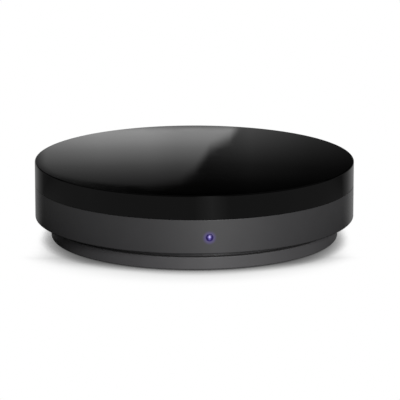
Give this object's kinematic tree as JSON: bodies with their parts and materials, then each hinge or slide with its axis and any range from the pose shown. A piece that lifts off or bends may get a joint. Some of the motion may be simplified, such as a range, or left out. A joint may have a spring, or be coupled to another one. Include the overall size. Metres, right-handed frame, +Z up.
{
  "type": "universal remote control hub",
  "caption": "Low round tabletop hub that sends infra-red remote control codes all round, with a glossy cover, matt case, status lamp, reset button and power inlet.",
  "frame": {"origin": "on the surface that the hub stands on, under the middle of the round body", "axes": "+Z up, -Y towards the front with the status lamp, +Y towards the back with the power inlet"},
  "size_m": [0.11, 0.11, 0.027],
  "materials": {
    "gloss_cover": "mirror polished black that passes infra-red",
    "matt_case": "fine spark texture, charcoal",
    "foot_rubber": "matt",
    "screw_steel": "zinc plated",
    "board_laminate": "satin solder mask",
    "carrier_plastic": "moulded, satin",
    "emitter_lens": "clear violet tinted epoxy",
    "receiver_lens": "dark epoxy",
    "clear_plastic": "clear, lit violet blue",
    "lamp_white": "moulded",
    "button_plastic": "moulded, satin",
    "chip_black": "moulded epoxy",
    "tinned_metal": "tin plated",
    "gold_plate": "gold flash",
    "capacitor_can": "drawn can, satin",
    "ferrite": "sintered",
    "resistor_ceramic": "glazed",
    "capacitor_ceramic": "fired"
  },
  "bodies": {
    "case": {"top_cover": "gloss_cover", "middle_case": "matt_case", "base_plate": "matt_case", "rubber_feet": "foot_rubber", "case_screws": "screw_steel", "main_board": "board_laminate", "board_screws": "screw_steel", "emitter_ring": "carrier_plastic", "ir_emitters": "emitter_lens", "emitter_leads": "tinned_metal", "ir_receiver": "receiver_lens", "receiver_leads": "tinned_metal", "light_pipe": "clear_plastic", "status_lamp": "lamp_white", "switch_body": "chip_black", "switch_bracket": "tinned_metal", "power_socket_shell": "tinned_metal", "power_socket_blade": "chip_black", "power_socket_contacts": "gold_plate", "radio_board": "board_laminate", "radio_can": "tinned_metal", "radio_antenna": "gold_plate", "control_chip": "chip_black", "control_chip_pins": "tinned_metal", "regulator": "chip_black", "regulator_pins": "tinned_metal", "driver_transistors": "chip_black", "driver_pins": "tinned_metal", "storage_capacitors": "capacitor_can", "capacitor_bases": "chip_black", "inductor": "ferrite", "crystal": "tinned_metal", "emitter_resistors": "resistor_ceramic", "bypass_capacitors": "capacitor_ceramic"},
    "reset_button": {"reset_button": "button_plastic"},
    "switch_plunger": {"switch_plunger": "lamp_white"}
  },
  "joints": [
    {"name": "reset_press", "type": "slide", "parent": "case", "child": "reset_button", "axis": [-0.2924, -0.9563, 0], "range_m": [0, 0.0004], "stiffness_N_per_m": 2000},
    {"name": "plunger_press", "type": "slide", "parent": "case", "child": "switch_plunger", "axis": [-0.2924, -0.9563, 0], "range_m": [0, 0.0004]}
  ],
  "couplings": [
    {"joint": "plunger_press", "follows": "reset_press", "ratio": 1}
  ]
}
